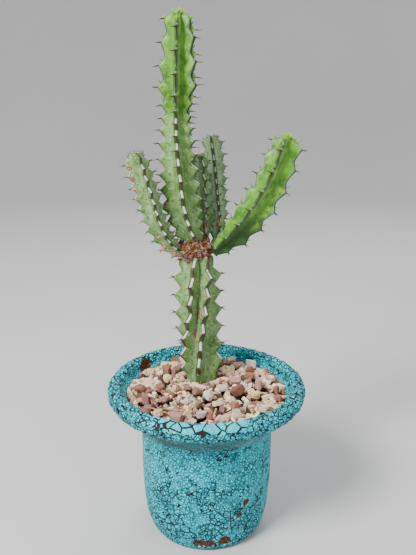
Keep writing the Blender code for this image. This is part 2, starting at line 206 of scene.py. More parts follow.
class Wiring:
    # one procedural material, with short names for the nodes that most of them need
    def __init__(self, name, roughness, specular):
        self.material = bpy.data.materials.new(name)
        self.material.use_nodes = True
        self.tree = self.material.node_tree
        self.shader = self.tree.nodes["Principled BSDF"]
        self.shader.inputs["Roughness"].default_value = roughness
        self.shader.inputs["Specular IOR Level"].default_value = specular
        self.objectPlace = self.add("ShaderNodeTexCoord").outputs["Object"]

    def add(self, kind, **settings):
        node = self.tree.nodes.new(kind)
        for key, value in settings.items():
            setattr(node, key, value)
        return node

    def plug(self, source, socket):
        if hasattr(source, "is_output"):
            self.tree.links.new(source, socket)
        else:
            socket.default_value = source

    def noise(self, scale, detail=3.0, roughness=0.55, place=None, output="Fac"):
        node = self.add("ShaderNodeTexNoise")
        node.inputs["Scale"].default_value = scale
        node.inputs["Detail"].default_value = detail
        node.inputs["Roughness"].default_value = roughness
        self.plug(place or self.objectPlace, node.inputs["Vector"])
        return node.outputs[output]

    def cells(self, scale, place=None, feature="F1"):
        node = self.add("ShaderNodeTexVoronoi", feature=feature)
        node.inputs["Scale"].default_value = scale
        self.plug(place or self.objectPlace, node.inputs["Vector"])
        return node.outputs["Distance"]

    def ramp(self, value, low, high, fromValue=0.0, toValue=1.0):
        node = self.add("ShaderNodeMapRange", interpolation_type="SMOOTHSTEP")
        self.plug(value, node.inputs["Value"])
        for key, number in (("From Min", low), ("From Max", high),
                            ("To Min", fromValue), ("To Max", toValue)):
            node.inputs[key].default_value = number
        return node.outputs["Result"]

    def reckon(self, kind, a, b):
        node = self.add("ShaderNodeMath", operation=kind)
        self.plug(a, node.inputs[0])
        self.plug(b, node.inputs[1])
        return node.outputs[0]

    def plus(self, a, b):
        return self.reckon("ADD", a, b)

    def minus(self, a, b):
        return self.reckon("SUBTRACT", a, b)

    def times(self, a, b):
        return self.reckon("MULTIPLY", a, b)

    def larger(self, a, b):
        return self.reckon("MAXIMUM", a, b)

    def frayed(self, value, scale, detail):
        # a painted value with noise on it, so that what it marks gets a ragged edge
        return self.plus(value, self.times(self.minus(self.noise(scale, detail), 0.5), 0.5))

    def colour(self, share, first, second):
        node = self.add("ShaderNodeMix", data_type="RGBA")
        self.plug(share, node.inputs["Factor"])
        for socket, value in ((node.inputs["A"], first), (node.inputs["B"], second)):
            self.plug(value if hasattr(value, "is_output") else (*value, 1), socket)
        return node.outputs["Result"]

    def wobble(self, scale, amount):
        # the object's place, pushed about by noise
        shift = self.add("ShaderNodeVectorMath", operation="SUBTRACT")
        self.plug(self.noise(scale, 2.0, output="Color"), shift.inputs[0])
        shift.inputs[1].default_value = (0.5, 0.5, 0.5)
        push = self.add("ShaderNodeVectorMath", operation="MULTIPLY_ADD")
        self.plug(shift.outputs[0], push.inputs[0])
        push.inputs[1].default_value = (amount, amount, amount)
        self.plug(self.objectPlace, push.inputs[2])
        return push.outputs[0]

    def stretched(self, place, scale):
        node = self.add("ShaderNodeVectorMath", operation="MULTIPLY")
        self.plug(place, node.inputs[0])
        node.inputs[1].default_value = scale
        return node.outputs[0]

    def channels(self, name):
        # the three numbers painted on a piece's vertices under this name
        split = self.add("ShaderNodeSeparateColor")
        painted = self.add("ShaderNodeAttribute", attribute_name=name)
        self.plug(painted.outputs["Color"], split.inputs[0])
        return split.outputs

    def finish(self, tone, height=None, distance=0.0, strength=1.0):
        self.plug(tone, self.shader.inputs["Base Color"])
        if height is not None:
            node = self.add("ShaderNodeBump")
            node.inputs["Distance"].default_value = distance
            node.inputs["Strength"].default_value = strength
            self.plug(height, node.inputs["Height"])
            self.plug(node.outputs["Normal"], self.shader.inputs["Normal"])
        return self.material


skin = {
    "old": ((0.092, 0.205, 0.040), (0.215, 0.385, 0.105)),
    "greyed": ((0.175, 0.320, 0.135), (0.420, 0.560, 0.340)),
    "palest": (0.520, 0.680, 0.480), "yellowed": (0.190, 0.300, 0.040),
    "oldEdge": (0.070, 0.185, 0.030), "bloom": (0.330, 0.450, 0.270),
    "freckle": (0.048, 0.110, 0.022), "paleFreckle": (0.480, 0.570, 0.290),
    "fresh": ((0.045, 0.165, 0.009), (0.110, 0.310, 0.024)), "freshLight": (0.235, 0.450, 0.060),
    "notch": (0.020, 0.105, 0.022), "besideEdge": (0.210, 0.350, 0.190),
    "edge": (0.030, 0.055, 0.016), "shaded": (0.016, 0.055, 0.009),
    "scar": ((0.22, 0.11, 0.06), (0.66, 0.46, 0.26)), "scarPurple": (0.20, 0.095, 0.080),
    "glow": 0.06, "glowReach": (0.002, 0.004, 0.001),
}


def makeStemSkin():
    w = Wiring("stemSkin", 0.45, 0.3)
    young, crest, scar = w.channels("growth")[:3]
    pale, tooth = w.channels("place")[:2]
    broad, fine = w.noise(70, 3), w.noise(420, 4)
    streaks = w.noise(150, 4, 0.6, w.stretched(w.wobble(60, 0.006), (1, 1, 0.28)))
    # old growth: mottled and freckled, with a grey bloom in the valleys
    old = w.colour(w.ramp(broad, 0.35, 0.66), *skin["old"])
    greyed = w.colour(w.ramp(streaks, 0.32, 0.64), *skin["greyed"])
    old = w.colour(w.ramp(pale, 0, 1), old, greyed)
    old = w.colour(w.ramp(pale, 1, 2, 0, 0.8), old, skin["palest"])
    old = w.colour(w.ramp(broad, 0.60, 0.72, 0, 0.45), old, skin["yellowed"])
    old = w.colour(w.ramp(crest, 0.4, 0.85, 0, 0.6), old, skin["oldEdge"])
    bloom = w.times(w.ramp(streaks, 0.44, 0.66, 0, 0.85), w.ramp(crest, 0.1, 0.6, 1, 0.3))
    old = w.colour(bloom, old, skin["bloom"])
    old = w.colour(w.ramp(fine, 0.53, 0.64, 0, 0.7), old, skin["freckle"])
    old = w.colour(w.ramp(w.noise(620, 3), 0.58, 0.67, 0, 0.75), old, skin["paleFreckle"])
    # fresh growth: light on the teeth, painted shade in the notches, a pale line beside the edge
    fresh = w.colour(w.ramp(broad, 0.35, 0.65), *skin["fresh"])
    clouds = w.noise(240, 3, place=w.wobble(150, 0.004))
    light = w.times(w.ramp(clouds, 0.42, 0.62), w.ramp(crest, 0.1, 0.75, 0.25, 0.9))
    fresh = w.colour(light, fresh, skin["freshLight"])
    # painted shade near the edge in each notch
    notchShade = w.times(w.ramp(tooth, 0.45, 0.0, 0, 0.65), w.ramp(crest, 0.35, 0.8))
    fresh = w.colour(notchShade, fresh, skin["notch"])
    beside = w.times(w.ramp(crest, 0.74, 0.84), w.ramp(streaks, 0.3, 0.6, 0.1, 0.4))
    fresh = w.colour(beside, fresh, skin["besideEdge"])
    # both: a dark edge under the margin, painted shade low down on one side, corky scars
    tone = w.colour(young, old, fresh)
    tone = w.colour(w.times(w.ramp(crest, 0.93, 1.0), 0.75), tone, skin["edge"])
    # painted shade where the painted pale value falls below zero
    tone = w.colour(w.ramp(pale, -1, 0, 0.9, 0), tone, skin["shaded"])
    cork = w.ramp(w.plus(scar, w.times(w.noise(260, 4), 0.55)), 0.80, 0.92)
    corkTone = w.colour(w.ramp(w.noise(700, 3), 0.4, 0.62), *skin["scar"])
    corkTone = w.colour(w.ramp(w.noise(240, 3), 0.48, 0.62, 0, 0.7), corkTone, skin["scarPurple"])
    tone = w.colour(cork, tone, corkTone)
    w.plug(w.ramp(cork, 0, 1, 0.42, 0.9), w.shader.inputs["Roughness"])
    w.shader.inputs["Subsurface Weight"].default_value = skin["glow"]
    w.shader.inputs["Subsurface Radius"].default_value = skin["glowReach"]
    return w.finish(tone, w.plus(w.times(fine, 0.35), w.times(cork, 0.9)), 0.0005, 0.7)


def makeHornyMargin():
    w = Wiring("hornyMargin", 0.6, 0.25)
    young, pale = w.channels("growth")[:2]
    speck = w.noise(900, 4)
    edge = w.frayed(pale, 500, 3)
    # old horn: its own grey and brown, with painted light on the upper facet above each spine pair and
    # painted shade below it
    brownHornAndShade = w.colour(speck, (0.040, 0.026, 0.015), (0.150, 0.105, 0.065))
    paleHornAndHighlight = w.colour(w.ramp(speck, 0.35, 0.75), (0.42, 0.40, 0.36), (0.86, 0.85, 0.82))
    horn = w.colour(w.ramp(edge, 0.42, 0.58), brownHornAndShade, paleHornAndHighlight)
    freshLine = w.colour(w.ramp(edge, 0.62, 0.75), (0.022, 0.040, 0.012), (0.34, 0.40, 0.24))
    return w.finish(w.colour(young, horn, freshLine), w.noise(1300, 4), 0.0004, 0.8)


def makeSpine():
    w = Wiring("spineHorn", 0.5, 0.35)
    young, alongSpine = w.channels("growth")[:2]
    old = w.colour(w.ramp(alongSpine, 0.0, 0.9), (0.050, 0.035, 0.026), (0.16, 0.13, 0.11))
    fresh = w.colour(w.ramp(alongSpine, 0.05, 0.45), (0.07, 0.08, 0.015), (0.060, 0.016, 0.010))
    tone = w.colour(young, old, fresh)
    return w.finish(w.colour(w.ramp(w.noise(1500, 2), 0.4, 0.7, 0, 0.5), tone, (0.03, 0.02, 0.015)))


def makeLeaf():
    w = Wiring("tinyLeafGreen", 0.45, 0.3)
    tone = w.colour(w.channels("growth")[1], (0.10, 0.30, 0.02), (0.34, 0.62, 0.03))
    tone = w.colour(w.ramp(w.noise(800, 3), 0.45, 0.7, 0, 0.5), tone, (0.10, 0.32, 0.02))
    return w.finish(tone, w.noise(1200, 2), 0.0002, 0.5)


def makeCork(name, dark, mid, light):
    w = Wiring(name, 0.92, 0.15)
    place = w.wobble(220, 0.003)
    tone = w.colour(w.ramp(w.noise(300, 5, 0.65, place), 0.35, 0.6), dark, mid)
    tone = w.colour(w.ramp(w.noise(760, 4, 0.6, place), 0.52, 0.72), tone, light)
    return w.finish(tone, w.plus(w.noise(520, 5, 0.7), w.cells(700)), 0.0009, 0.9)


def makeStone(name, dark, light, fleck):
    w = Wiring(name, 0.88, 0.2)
    tint, depth = w.channels("stone")[:2]
    cloud, grain = w.noise(330, 5, 0.62), w.noise(1700, 4, 0.7)
    tone = w.colour(tint, dark, light)
    tone = w.colour(w.ramp(cloud, 0.42, 0.66, 0, 0.6), tone, fleck)
    tone = w.colour(w.ramp(grain, 0.56, 0.70, 0, 0.5), tone, (0.12, 0.070, 0.045))
    # painted shade on the parts of a stone that lie deeper in the bed
    tone = w.colour(w.ramp(depth, 0, 1, 0, 0.92), tone, (0.022, 0.013, 0.009))
    return w.finish(tone, w.plus(w.times(cloud, 1.2), w.times(grain, 0.5)), 0.0006, 0.9)


# the pot's crackled coat; cells are counted per metre
coat = {
    "bigCells": 135, "middleCells": 215, "smallCells": 450,
    "paint": ((0.014, 0.560, 0.700), (0.034, 0.780, 0.920)), "cellTopHighlight": (0.050, 0.900, 0.970),
    "rimPaintedLight": (0.070, 0.740, 0.860), "dusty": (0.34, 0.50, 0.48), "worn": (0.28, 0.42, 0.36),
    "grimeAndShade": (0.085, 0.120, 0.110), "seam": (0.008, 0.130, 0.175), "crack": (0.018, 0.012, 0.010),
    "clay": ((0.050, 0.018, 0.010), (0.20, 0.075, 0.032)),
}


def makeCrackle():
    w = Wiring("turquoiseCrackle", 0.55, 0.22)
    coarse, chip, grimeAndShade = w.channels("wear")[:3]
    place = w.wobble(190, 0.0014)
    big = w.cells(coat["bigCells"], place, "DISTANCE_TO_EDGE")
    middle = w.cells(coat["middleCells"], place, "DISTANCE_TO_EDGE")
    small = w.cells(coat["smallCells"], w.wobble(420, 0.0006), "DISTANCE_TO_EDGE")
    # big flakes where the coat is coarse, middle ones in patches, fine ones everywhere
    patch = w.noise(52, 3, 0.5, w.stretched(w.objectPlace, (1, 1, 1.4)))
    fade = w.noise(190, 2)
    bigCrack = w.times(w.ramp(big, 0.034, 0.080, 1, 0), w.ramp(coarse, 0.78, 0.90))
    patches = w.plus(w.plus(patch, w.times(fade, 0.55)), coarse)
    midZone = w.times(w.ramp(patches, 0.95, 1.04), w.ramp(coarse, 0.78, 0.9, 1, 0))
    midCrack = w.ramp(w.times(w.ramp(middle, 0.020, 0.090, 1, 0), midZone), 0.25, 0.6)
    fineCrack = w.times(w.ramp(small, 0.04, 0.20, 1, 0), w.ramp(fade, 0.3, 0.6, 0.6, 1))
    fineCrack = w.times(fineCrack, w.ramp(coarse, 0.6, 0.9, 1, 0.35))
    # paint, then dust, wear, and grime with painted shade under the rim, then the cracks, then the bare
    # clay
    tone = w.colour(w.ramp(w.noise(60, 4, 0.6), 0.32, 0.66), *coat["paint"])
    # painted highlight on the raised middles of the small cells
    tone = w.colour(w.ramp(small, 0.25, 0.6, 0, 0.6), tone, coat["cellTopHighlight"])
    # painted light: the coarse-cracked rim gets a lighter paint
    tone = w.colour(w.ramp(coarse, 0.3, 0.5, 0, 0.45), tone, coat["rimPaintedLight"])
    tone = w.colour(w.ramp(coarse, 0.06, 0, 0, 0.45), tone, coat["dusty"])
    worn = w.ramp(w.noise(26, 6, 0.7, w.wobble(50, 0.02)), 0.66, 0.74, 0, 0.5)
    tone = w.colour(worn, tone, coat["worn"])
    streak = w.noise(60, 5, 0.65, w.stretched(w.wobble(30, 0.02), (0.6, 0.6, 2.4)))
    # grime with painted shade under the rim, in streaks
    tone = w.colour(w.times(grimeAndShade, w.ramp(streak, 0.36, 0.60, 0.25, 0.9)), tone, coat["grimeAndShade"])
    tone = w.colour(fineCrack, tone, coat["seam"])
    dark = w.larger(bigCrack, midCrack)
    tone = w.colour(dark, tone, coat["crack"])
    bare = w.ramp(w.frayed(chip, 420, 4), 0.47, 0.54)
    clay = w.colour(w.ramp(w.noise(600, 5), 0.38, 0.65), *coat["clay"])
    w.plug(w.ramp(w.larger(dark, bare), 0, 1, 0.46, 0.85), w.shader.inputs["Roughness"])
    height = w.minus(w.times(w.noise(1100, 3), 0.25), w.larger(dark, w.times(fineCrack, 0.7)))
    height = w.plus(height, w.times(w.ramp(small, 0, 0.7), 0.4))
    height = w.minus(height, w.times(bare, 0.8))
    return w.finish(w.colour(bare, tone, clay), height, 0.0014)


def makeFloor():
    w = Wiring("paleFloor", 0.85, 0.2)
    return w.finish(w.colour(w.noise(3, 2), (0.53, 0.53, 0.53), (0.585, 0.585, 0.58)))


stemSkin = makeStemSkin()
hornyMargin = makeHornyMargin()
spineHorn = makeSpine()
tinyLeafGreen = makeLeaf()
crownCork = makeCork("crownCork", (0.030, 0.013, 0.008), (0.23, 0.095, 0.042), (0.52, 0.27, 0.13))
driedFlower = makeCork("driedFlower", (0.09, 0.040, 0.028), (0.34, 0.16, 0.09), (0.62, 0.40, 0.26))
crownFibre = makeCork("crownFibre", (0.26, 0.105, 0.040), (0.60, 0.30, 0.12), (0.82, 0.56, 0.32))
witheredBud = makeCork("witheredBud", (0.16, 0.085, 0.075), (0.44, 0.27, 0.25), (0.66, 0.50, 0.47))
# dark soil, made darker to give painted shade in the gaps between the stones
darkSoilAndGapShade = makeCork("darkSoilAndGapShade", (0.012, 0.008, 0.006), (0.040, 0.025, 0.016), (0.11, 0.07, 0.045))
strawTan = makeCork("strawTan", (0.34, 0.17, 0.07), (0.64, 0.36, 0.16), (0.78, 0.55, 0.32))
turquoiseCrackle = makeCrackle()
print("materials are ready")

# a pale floor that sweeps up all round, far behind the plant
sweep = {"flat": 1.5, "bend": 0.7, "bendSteps": 12, "height": 1.7, "around": 96}
floorShape = bmesh.new()
sweepLine = [Vector((0, 0, 0)), Vector((sweep["flat"], 0, 0))]
for i in range(1, sweep["bendSteps"] + 1):
    lean = math.tau / 4 * i / sweep["bendSteps"]
    sweepLine.append(Vector((sweep["flat"] + sweep["bend"] * math.sin(lean), 0,
                             sweep["bend"] * (1 - math.cos(lean)))))
sweepLine.append(sweepLine[-1] + Vector((0, 0, sweep["height"] - sweep["bend"])))
sweepVerts = [floorShape.verts.new(p) for p in sweepLine]
sweepEdges = [floorShape.edges.new(pair) for pair in zip(sweepVerts, sweepVerts[1:])]
bmesh.ops.spin(floorShape, geom=sweepVerts + sweepEdges, cent=(0, 0, 0), axis=(0, 0, 1),
               angle=math.tau, steps=sweep["around"], use_merge=True)
bmesh.ops.remove_doubles(floorShape, verts=floorShape.verts[:], dist=0.0001)
bmesh.ops.recalc_face_normals(floorShape, faces=floorShape.faces[:])
bmesh.ops.reverse_faces(floorShape, faces=floorShape.faces[:])
floorMesh = bpy.data.meshes.new("floor")
floorShape.to_mesh(floorMesh)
floorShape.free()
floorMesh.shade_smooth()
floorMesh.materials.append(makeFloor())
floor = bpy.data.objects.new("floor", floorMesh)
bpy.context.scene.collection.objects.link(floor)

pot = {
    "height": potTop, "rim": 75.0, "rimWidth": 10.5, "body": 50.5, "foot": 41.0, "wall": 6.0,
    "floor": 8.0, "hole": 8.0, "flareEnd": 40.0, "flarePower": 2.2,
    "around": 340, "step": 1.35, "insideStep": 3.2,
    # how far the wall swells, and how far the body and the rim are pebbled
    "unevenness": 0.35, "pebbles": (0.25, 0.95), "pebbleScale": 280,
    # bare patches: bearing from the front, height, half width, half height
    "chips": [(-2, 9, 8.5, 3.5), (17, 10, 4.2, 4.6), (36, 41, 2.4, 3.4), (29, 32, 2.2, 2.0),
              (-128, 115, 6.5, 6.0), (104, 117, 2.5, 2.0)],
    "chipDepth": 0.7,
    # how coarse the cracks are: least, body, extra low down, rim; the rim's front is 1
    "coarse": (0.10, 0.16, 0.12, 0.38),
    # heights between which grime and painted shade show under the rim
    "grimeAndShade": (84, 94, 106, 113),
}


def flareCurve(topRadius, lowRadius, topDrop, lowDrop, runs=5):
    rows = []
    for i in range(runs + 1):
        share = i / runs
        rows.append((blendValue(lowRadius, topRadius, (1 - share) ** pot["flarePower"]),
                     pot["height"] - blendValue(topDrop, lowDrop, share)))
    return rows


def potWalls():
    # the outside from the mouth to the foot, and the inside from the floor to the mouth
    height, rim, body = pot["height"], pot["rim"], pot["body"]
    mouth = rim - pot["rimWidth"]
    outside = [(mouth, height - 3.5), (mouth + 1.4, height - 1.2), (rim - 6.2, height),
               (rim - 2.4, height - 1.6), (rim - 0.4, height - 4.2), (rim, height - 7),
               (rim - 0.8, height - 10), *flareCurve(rim - 3.6, body, 13, pot["flareEnd"]),
               (body, height * 0.42), (body - 0.7, height * 0.27), (body - 2.3, height * 0.13),
               (pot["foot"] + 4, 4.2), (pot["foot"] + 1.8, 1.3), (pot["foot"], 0)]
    inner = body - pot["wall"]
    inside = [(inner - 7, pot["floor"]), (inner - 1.6, pot["floor"] + 5),
              (inner, pot["floor"] + 16),
              *flareCurve(mouth - 0.5, inner, 8, pot["flareEnd"] + 4)[::-1], (mouth, height - 3.5)]
    return outside, inside


def evenRows(rows, spacing):
    line = smoothLine([(r, 0, z) for r, z in rows])
    reach = lengthsAlong(line)
    count = max(2, round(reach[-1] / spacing))
    return [pointAt(line, reach, reach[-1] * i / count) for i in range(count + 1)]


def buildPot():
    outside, inside = potWalls()
    profile = evenRows(outside, pot["step"])
    profile += [Vector((pot["hole"], 0, 0)), Vector((pot["hole"], 0, pot["floor"]))]
    profile += evenRows(inside, pot["insideStep"])[:-1]
    shape = bmesh.new()
    corners = [shape.verts.new(p * millimetre) for p in profile]
    sides = [shape.edges.new((a, b)) for a, b in zip(corners, corners[1:] + corners[:1])]
    bmesh.ops.spin(shape, geom=corners + sides, cent=(0, 0, 0), axis=(0, 0, 1), angle=math.tau,
                   steps=pot["around"], use_merge=True)
    bmesh.ops.remove_doubles(shape, verts=shape.verts[:], dist=0.000005)
    bmesh.ops.recalc_face_normals(shape, faces=shape.faces[:])
    shape.normal_update()
    wear = shape.verts.layers.float_color.new("wear")
    moves = []
    for vert in shape.verts:
        x, y, z = (c / millimetre for c in vert.co)
        bearing = math.degrees(math.atan2(x, -y))
        radius = math.hypot(x, y)
        chip = 0.0
        for at, high, wide, tall in pot["chips"]:
            aside = math.radians(turnBetween(bearing, at)) * radius
            ragged = 1 + 0.35 * noise.noise(vert.co * 330)
            chip = max(chip, 1 - 0.5 * math.hypot(aside / wide, (z - high) / tall) / ragged)
        front = smoothStep(40, 22, abs(bearing + 4))
        crest = smoothStep(pot["height"] - 6.5, pot["height"] - 4, z)
        onRim = smoothStep(pot["height"] - 16, pot["height"] - 12, z)
        low = smoothStep(pot["height"] * 0.45, pot["height"] * 0.25, z)
        least, body, extraLow, rim = pot["coarse"]
        coarse = max(least, front * crest, body + extraLow * low, rim * onRim)
        if radius < pot["rim"] - pot["rimWidth"] and z > pot["height"] - 30:
            coarse = 0.0
        # grime and painted shade under the rim, fading towards the back
        low0, low1, high1, high0 = pot["grimeAndShade"]
        grimeAndShade = smoothStep(low0, low1, z) * smoothStep(high0, high1, z)
        vert[wear] = (coarse, clamp(chip), grimeAndShade * smoothStep(100, 50, abs(bearing)), 1)
        free = smoothStep(0, 3, z) * smoothStep(pot["hole"] + 6, pot["hole"] + 12, radius)
        swell = noise.noise(vert.co * 22) * 0.7 + noise.noise(vert.co * 75) * 0.3
        pebbled = noise.noise(vert.co * pot["pebbleScale"]) * blendValue(*pot["pebbles"], onRim)
        lift = (pot["unevenness"] * swell + pebbled) * free
        lift -= pot["chipDepth"] * smoothStep(0.42, 0.62, chip)
        moves.append((vert, vert.normal.copy() * lift * millimetre))
    for vert, move in moves:
        vert.co += move
    return finishPiece("crackledPot", shape, turquoiseCrackle,
                       replaced=["pot"], sharpAngle=50)


buildPot()
print("pot is done")

# the gravel bed's surface, which the main stem comes out of
bed = {"edgeDrop": 10.0, "rise": 6.5, "stemPlace": (-3.6, 14.0)}


def bedHeight(x, y):
    reach = math.hypot(x, y) / bedRim
    away = math.hypot(x - bed["stemPlace"][0], y - bed["stemPlace"][1]) / bedRim
    mound = max(0.0, 1 - reach**3) * (1 - 0.45 * min(1.0, away))
    return potTop - bed["edgeDrop"] + bed["rise"] * mound


# stems: lines from the pot's top up, tables of (run, value), and the ribs' bearings at even
# stages of the run; lifts are tenths of a tooth, scars are (bearing, run, half width, half height)
stems = {
    "mainStem": {
        "node": "main_stem", "buried": True,
        "line": [(-3.6, 14, -48), (-3.6, 14, 0), (-5.2, 14, 22), (-6.3, 14, 43), (-6.8, 14, 67),
                 (-6.9, 14, 89), (-6.8, 14, 99)],
        "radii": [(0, 14.5), (4, 16.6), (20, 17.4), (34, 18.2), (82, 18.2), (90, 16), (96, 12),
                  (100, 8)],
        "notches": [(0, 0.74), (100, 0.68)],
        "teeth": [(0, 14), (100, 14)],
        "ribs": ((-152, -92, -14, 62, 136), (-140, -82, -14, 70, 142), (-98, -24, 21, 96, 168),
                 (-98, -8, 48, 100, 172)),
        "lifts": (0, 8, 2, 2, 6),
        "young": [(0, 0), (110, 0)], "pale": 0.3, "margin": 1.15, "spine": 5.0,
        "scars": [(6, 54.5, 2.0, 4), (-12, 37, 3.0, 7), (4, 81, 1.8, 3), (4, 69, 2.0, 2.5),
                  (44, 35.5, 1.2, 1.2), (-40, 38.5, 1.6, 2.4),
                  (48, 23.5, 1, 1), (40, 14, 1.2, 1), (55, 8, 1, 1.2), (30, 70, 2, 3)],
    },
    "tallBranch": {
        "node": "tall_branch", "buried": False,
        "line": [(-5.0, 12.5, 97), (-9.6, 11.5, 107), (-14.2, 10.5, 118), (-17.6, 9.2, 133),
                 (-18.9, 8.2, 150), (-20.0, 8, 168), (-20.2, 8, 183), (-19.9, 8, 200),
                 (-19.0, 8, 218), (-18.3, 9, 238), (-17.8, 10, 261)],
        "radii": [(0, 6.5), (12, 8.5), (24, 12.5), (38, 15.2), (52, 14.5), (72, 13.9), (83, 13.5),
                  (93, 12.4), (101, 10.6), (109, 11.4), (119, 14.3), (132, 13.8), (147, 12.6),
                  (161, 11.4), (170, 11)],
        "notches": [(0, 0.66), (90, 0.66), (110, 0.74), (172, 0.70)],
        "teeth": [(0, 9.6), (30, 9.8), (40, 11.6), (52, 10.6), (76, 10.8), (84, 9.2), (94, 7.7),
                  (102, 7.9), (110, 11), (120, 13.8), (135, 15.2), (170, 15.2)],
        "ribs": ((-146, -74, 16, 92, 150), (-146, -84, 6, 82, 142), (-148, -84, -7, 62, 128),
                 (-148, -82, -8, 60, 128)),
        "lifts": (8, 0, 6, 2, 6),
        "young": [(0, 0), (80, 0.1), (98, 0.25), (104, 1), (172, 1)],
        "pale": 0.1, "margin": 1.0, "spine": 5.4,
        "scars": [(-48, 57, 1.5, 1.7), (-55, 52, 1.3, 1.2), (-70, 41, 1.2, 1.5),
                  (-30, 20, 1.4, 1.6), (34, 26, 1.6, 1.6), (-12, 14, 1.2, 1.6), (28, 12, 1.4, 2)],
    },
    "leftBranch": {
        "node": "left_branch", "buried": False,
        "line": [(-12, 13.5, 94.5), (-18.5, 11.5, 97), (-25.3, 8.6, 102), (-31.3, 5, 111),
                 (-36.2, 1, 123.5), (-39.6, -2, 136.4), (-42.4, -4, 147), (-45, -5, 156),
                 (-47.4, -6, 165), (-49, -7, 172)],
        "radii": [(0, 4), (7, 5), (18, 7), (32, 8.8), (64, 9.2), (94, 8.8)],
        "notches": [(0, 0.66), (94, 0.68)],
        "teeth": [(0, 8.2), (94, 8.2)],
        "ribs": ((-150, -85, 20, 92, 150), (-150, -75, 32, 100, 160)),
        "lifts": (0, 4, 8, 2, 6),
        "young": [(0, 0), (94, 0)], "pale": 0.3, "margin": 0.8, "spine": 4.6,
        "scars": [(-62, 84, 1.8, 2.4), (-64, 76, 1.6, 2.2), (-66, 68, 1.4, 2), (4, 78, 1.1, 1.6),
                  (24, 62, 0.9, 2), (-40, 30, 2.2, 3), (-60, 22, 3.4, 4), (-30, 14, 3.0, 4),
                  (-80, 12, 3, 5), (-95, 30, 2, 6), (-100, 16, 4, 8), (-20, 4, 5, 6), (-90, 4, 6, 7)],
    },
    "rightBranch": {
        "node": "right_branch", "buried": False,
        "line": [(5, 13, 97), (14.3, 10, 105.5), (23.6, 7, 115.4), (31.8, 5, 126),
                 (39.8, 3, 138.6), (46.4, 2, 151.4), (51.5, 2, 164.4), (54.4, 3, 172.5),
                 (56.5, 4, 181)],
        "radii": [(0, 5), (12, 8), (26, 12), (45, 13), (75, 12.6), (92, 12), (104, 11.4)],
        "notches": [(0, 0.74), (104, 0.74)],
        "teeth": [(0, 11), (20, 14.6), (84, 15.2), (104, 8)],
        "ribs": ((-106, -24, 72, 166), (-102, -20, 74, 166)),
        "lifts": (0, 4, 8, 2),
        "young": [(0, 0.65), (14, 1), (104, 1)], "pale": 0.0, "margin": 0.85, "spine": 4.6,
        # shadeBelow: the run below which one side of this stem gets painted shade
        "shadeBelow": 38, "scars": [],
    },
    "shortBackBranch": {
        "node": "short_back_branch", "buried": False,
        "line": [(-1.5, 25, 101), (-2.2, 28, 112), (-3, 30, 126), (-3.8, 31, 140),
                 (-4.9, 31.5, 152), (-5.5, 32, 166)],
        "radii": [(0, 4), (12, 6), (24, 7.8), (50, 8.2), (66, 7.8)],
        "notches": [(0, 0.66), (66, 0.66)],
        "teeth": [(0, 8), (10, 10.2), (66, 10.2)],
        "ribs": ((-140, -48, 26, 92, 160), (-140, -56, 30, 98, 160)),
        "lifts": (0, 4, 8, 2, 6),
        "young": [(0, 0), (66, 0)], "pale": 0.45, "margin": 0.75, "spine": 3.6,
        "scars": [(20, 12, 2.5, 5)],
    },
    "longBackBranch": {
        "node": "long_back_branch", "buried": False,
        "line": [(7.5, 25.5, 98), (8.6, 35.5, 109), (8.4, 42.5, 122), (7.4, 46, 137),
                 (6, 47, 158), (3.6, 47, 179)],
        "radii": [(0, 4), (16, 6.4), (30, 8.6), (62, 8.8), (72, 8.6), (86, 8.2)],
        "notches": [(0, 0.66), (86, 0.7)],
        "teeth": [(0, 8), (20, 9), (86, 9)],
        "ribs": ((-150, -75, 18, 84, 140), (-160, -84, -4, 76, 136)),
        "lifts": (0, 4, 8, 2, 6),
        "young": [(0, 0), (70, 0.1), (86, 0.3)], "pale": 1.6, "margin": 0.7, "spine": 3.8,
        "scars": [(10, 18, 3, 6)],
    },
}
stemShape = {
    "ribSide": 6,  # points from a rib's edge down to the valley
    "tenths": 10, "valley": 0.42, "apexLength": 6.0, "apexShare": 0.4,
    "climb": 0.4,  # the share of a tooth that lies above its tip
    "edge": (0.085, 0.35),  # half a rib's thickness, by the radius and at least
    "foot": 12.0, "footValley": 7.4, "footShown": 12.0, "gap": 0.3,
}


def ribBearings(rows, share):
    at = min(share, 0.9999) * (len(rows) - 1)
    return [blendValue(a, b, at % 1) for a, b in zip(rows[int(at)], rows[int(at) + 1])]


def walkStem(stem):
    # the stem's cross-sections, a tenth of a tooth apart
    line = smoothLine([(x, y, z + potTop) for x, y, z in stem["line"]])
    reach = lengthsAlong(line)
    total, tenths = reach[-1], stemShape["tenths"]
    coarse = [0.0]
    while coarse[-1] < total - 1:
        coarse.append(coarse[-1] + readTable(stem["teeth"], coarse[-1]) * 2 / tenths)
    coarse = [run * total / coarse[-1] for run in coarse]
    runs = sorted(coarse + [(a + b) / 2 for a, b in zip(coarse, coarse[1:])])
    centres = [pointAt(line, reach, r) for r in runs]
    buried = bedHeight(*bed["stemPlace"]) + stemShape["gap"] - line[0].z if stem["buried"] else 0
    sections = []
    for i, (run, centre) in enumerate(zip(runs, centres)):
        free = run - buried
        if free < -stemShape["footShown"]:
            continue
        along = (centres[min(i + 1, len(centres) - 1)] - centres[max(i - 1, 0)]).normalized()
        front = Vector((0, -1, 0))
        front = (front - along * front.dot(along)).normalized()
        radius = readTable(stem["radii"], max(0.0, free))
        closing = (total - run) / stemShape["apexLength"]
        if closing < 1 and not stem["buried"]:
            radius *= blendValue(stemShape["apexShare"], 1, math.sqrt(closing))
        sections.append({
            "centre": centre, "along": along, "front": front, "right": along.cross(front),
            "run": free, "step": i, "lifts": stem["lifts"], "radius": radius,
            "toothed": clamp(free / 3 - 1) if stem["buried"] else 1.0,
            "notch": readTable(stem["notches"], max(0.0, free)),
            "young": readTable(stem["young"], free),
            "bearings": ribBearings(stem["ribs"], run / total),
        })
    return sections


